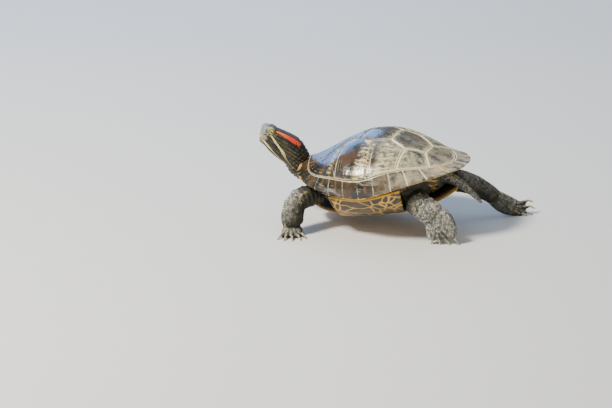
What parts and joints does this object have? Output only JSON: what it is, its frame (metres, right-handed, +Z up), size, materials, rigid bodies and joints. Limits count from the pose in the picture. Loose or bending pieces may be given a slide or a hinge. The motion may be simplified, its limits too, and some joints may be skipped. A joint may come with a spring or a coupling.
{
  "type": "red-eared slider turtle",
  "caption": "Red-eared slider turtle, a still life-size model standing on its legs, head raised and turned slightly, one hind leg stretched back.",
  "frame": {"origin": "centre of the object's box on the floor", "axes": "+X from the head to the stretched hind leg, along the body; +Y to the animal's right; +Z up"},
  "size_m": [0.2926, 0.2106, 0.1055],
  "materials": {
    "carapace": "polished",
    "marginal": "polished",
    "plastron": "smooth",
    "skin": "grained",
    "claw": "smooth",
    "eye": "polished"
  },
  "bodies": {
    "root": {"bridge_left": "plastron", "bridge_right": "plastron", "costal_left_1": "carapace", "costal_left_2": "carapace", "costal_left_3": "carapace", "costal_left_4": "carapace", "costal_right_1": "carapace", "costal_right_2": "carapace", "costal_right_3": "carapace", "costal_right_4": "carapace", "eye_left": "eye", "eye_right": "eye", "front_left_claw_1": "claw", "front_left_claw_2": "claw", "front_left_claw_3": "claw", "front_left_claw_4": "claw", "front_left_claw_5": "claw", "front_left_foot": "skin", "front_left_leg": "skin", "front_right_claw_1": "claw", "front_right_claw_2": "claw", "front_right_claw_3": "claw", "front_right_claw_4": "claw", "front_right_claw_5": "claw", "front_right_foot": "skin", "front_right_leg": "skin", "head": "skin", "hind_left_claw_1": "claw", "hind_left_claw_2": "claw", "hind_left_claw_3": "claw", "hind_left_claw_4": "claw", "hind_left_foot": "skin", "hind_left_leg": "skin", "hind_right_claw_1": "claw", "hind_right_claw_2": "claw", "hind_right_claw_3": "claw", "hind_right_claw_4": "claw", "hind_right_foot": "skin", "hind_right_leg": "skin", "lower_jaw": "skin", "marginals_left_bridge": "marginal", "marginals_left_front": "marginal", "marginals_left_rear": "marginal", "marginals_right_bridge": "marginal", "marginals_right_front": "marginal", "marginals_right_rear": "marginal", "neck": "skin", "nuchal": "marginal", "plastron_front_lobe": "plastron", "plastron_rear_lobe": "plastron", "tail": "skin", "trunk": "skin", "vertebral_1": "carapace", "vertebral_2": "carapace", "vertebral_3": "carapace", "vertebral_4": "carapace", "vertebral_5": "carapace"}
  },
  "joints": []
}
